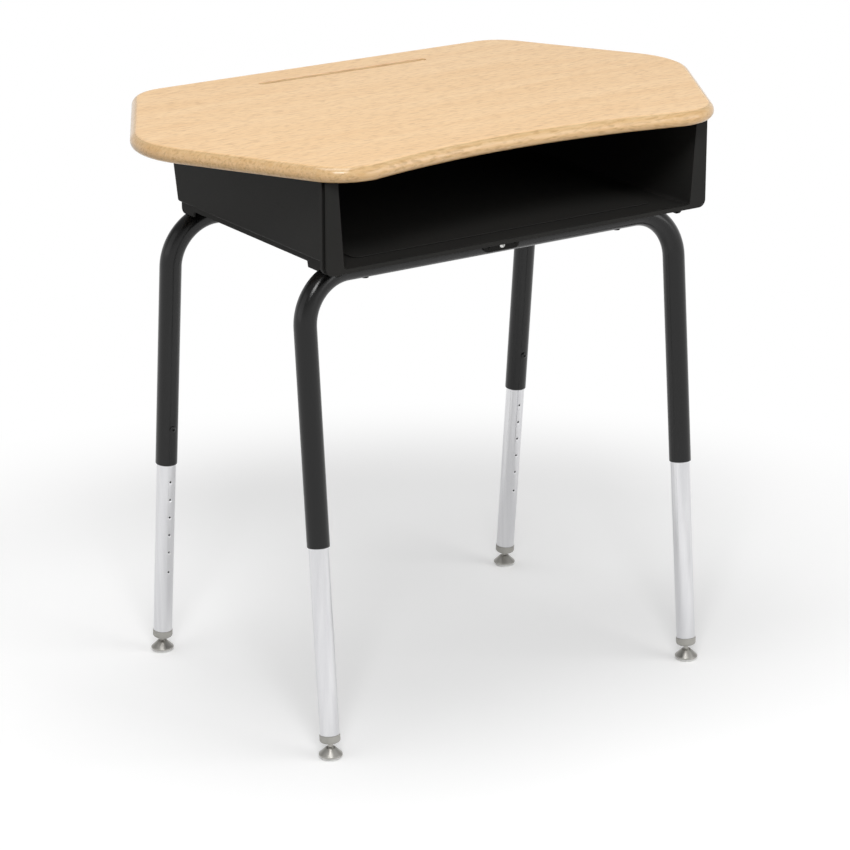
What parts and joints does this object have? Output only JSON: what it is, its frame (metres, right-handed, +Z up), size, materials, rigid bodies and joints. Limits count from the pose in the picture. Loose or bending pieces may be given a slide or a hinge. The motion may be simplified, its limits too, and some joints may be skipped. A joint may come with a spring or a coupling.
{
  "type": "study desk",
  "caption": "Student study desk with a hollow-fronted maple top, pencil groove, open book box and splayed tube legs with telescopic inserts on swivel glides.",
  "frame": {"origin": "on the floor, under the middle of the desk", "axes": "+Z up; +X to the right of the person at the desk; +Y to the back of the desk, away from that person"},
  "size_m": [0.8098, 0.4908, 0.7585],
  "materials": {
    "maple_top": "moulded wood composite, light maple grain, satin",
    "black_plastic": "moulded polypropylene, satin black",
    "black_paint": "powder coat, semi-gloss black",
    "chrome": "bright chrome plate",
    "grey_plastic": "moulded polyethylene, warm grey",
    "nickel": "nickel plate on pressed steel",
    "white_nylon": "moulded nylon, white",
    "zinc": "bright zinc plate"
  },
  "bodies": {
    "desk": {"desk_top": "maple_top", "book_box": "black_plastic", "front_leg_frame": "black_paint", "rear_leg_frame": "black_paint", "lock_screw_front_left": "black_paint", "lock_screw_front_right": "black_paint", "lock_screw_rear_left": "black_paint", "lock_screw_rear_right": "black_paint", "frame_screw_front_left": "black_paint", "frame_screw_front_right": "black_paint", "frame_screw_rear_left": "black_paint", "frame_screw_rear_right": "black_paint", "top_screw_front_left": "zinc", "top_screw_front_right": "zinc", "top_screw_middle_left": "zinc", "top_screw_middle_right": "zinc", "top_screw_back_left": "zinc", "top_screw_back_right": "zinc", "centre_tab_screw": "zinc"},
    "leg_front_left": {"leg_insert_front_left": "chrome", "end_cap_front_left": "grey_plastic"},
    "stem_front_left": {"glide_stem_front_left": "nickel"},
    "foot_front_left": {"glide_foot_front_left": "nickel", "glide_pad_front_left": "white_nylon"},
    "leg_front_right": {"leg_insert_front_right": "chrome", "end_cap_front_right": "grey_plastic"},
    "stem_front_right": {"glide_stem_front_right": "nickel"},
    "foot_front_right": {"glide_foot_front_right": "nickel", "glide_pad_front_right": "white_nylon"},
    "leg_rear_left": {"leg_insert_rear_left": "chrome", "end_cap_rear_left": "grey_plastic"},
    "stem_rear_left": {"glide_stem_rear_left": "nickel"},
    "foot_rear_left": {"glide_foot_rear_left": "nickel", "glide_pad_rear_left": "white_nylon"},
    "leg_rear_right": {"leg_insert_rear_right": "chrome", "end_cap_rear_right": "grey_plastic"},
    "stem_rear_right": {"glide_stem_rear_right": "nickel"},
    "foot_rear_right": {"glide_foot_rear_right": "nickel", "glide_pad_rear_right": "white_nylon"}
  },
  "joints": [
    {"name": "leg_front_left_height", "type": "slide", "parent": "desk", "child": "leg_front_left", "axis": [0, 0.0885, 0.9961], "range_m": [0, 0.2065]},
    {"name": "stem_front_left_turn", "type": "hinge", "parent": "leg_front_left", "child": "stem_front_left", "pos_m": [-0.2804, -0.20852, 0.0105], "axis": [0, 0.0885, 0.9961], "continuous": true},
    {"name": "foot_front_left_tilt", "type": "hinge", "parent": "stem_front_left", "child": "foot_front_left", "pos_m": [-0.2804, -0.20852, 0.0105], "axis": [1, 0, 0], "range_deg": [-20.08, 9.92]},
    {"name": "leg_front_right_height", "type": "slide", "parent": "desk", "child": "leg_front_right", "axis": [0, 0.0885, 0.9961], "range_m": [0, 0.2065]},
    {"name": "stem_front_right_turn", "type": "hinge", "parent": "leg_front_right", "child": "stem_front_right", "pos_m": [0.2804, -0.20852, 0.0105], "axis": [0, 0.0885, 0.9961], "continuous": true},
    {"name": "foot_front_right_tilt", "type": "hinge", "parent": "stem_front_right", "child": "foot_front_right", "pos_m": [0.2804, -0.20852, 0.0105], "axis": [1, 0, 0], "range_deg": [-20.08, 9.92]},
    {"name": "leg_rear_left_height", "type": "slide", "parent": "desk", "child": "leg_rear_left", "axis": [0, -0.0885, 0.9961], "range_m": [0, 0.2065]},
    {"name": "stem_rear_left_turn", "type": "hinge", "parent": "leg_rear_left", "child": "stem_rear_left", "pos_m": [-0.2804, 0.20852, 0.0105], "axis": [0, -0.0885, 0.9961], "continuous": true},
    {"name": "foot_rear_left_tilt", "type": "hinge", "parent": "stem_rear_left", "child": "foot_rear_left", "pos_m": [-0.2804, 0.20852, 0.0105], "axis": [1, 0, 0], "range_deg": [-9.92, 20.08]},
    {"name": "leg_rear_right_height", "type": "slide", "parent": "desk", "child": "leg_rear_right", "axis": [0, -0.0885, 0.9961], "range_m": [0, 0.2065]},
    {"name": "stem_rear_right_turn", "type": "hinge", "parent": "leg_rear_right", "child": "stem_rear_right", "pos_m": [0.2804, 0.20852, 0.0105], "axis": [0, -0.0885, 0.9961], "continuous": true},
    {"name": "foot_rear_right_tilt", "type": "hinge", "parent": "stem_rear_right", "child": "foot_rear_right", "pos_m": [0.2804, 0.20852, 0.0105], "axis": [1, 0, 0], "range_deg": [-9.92, 20.08]}
  ]
}
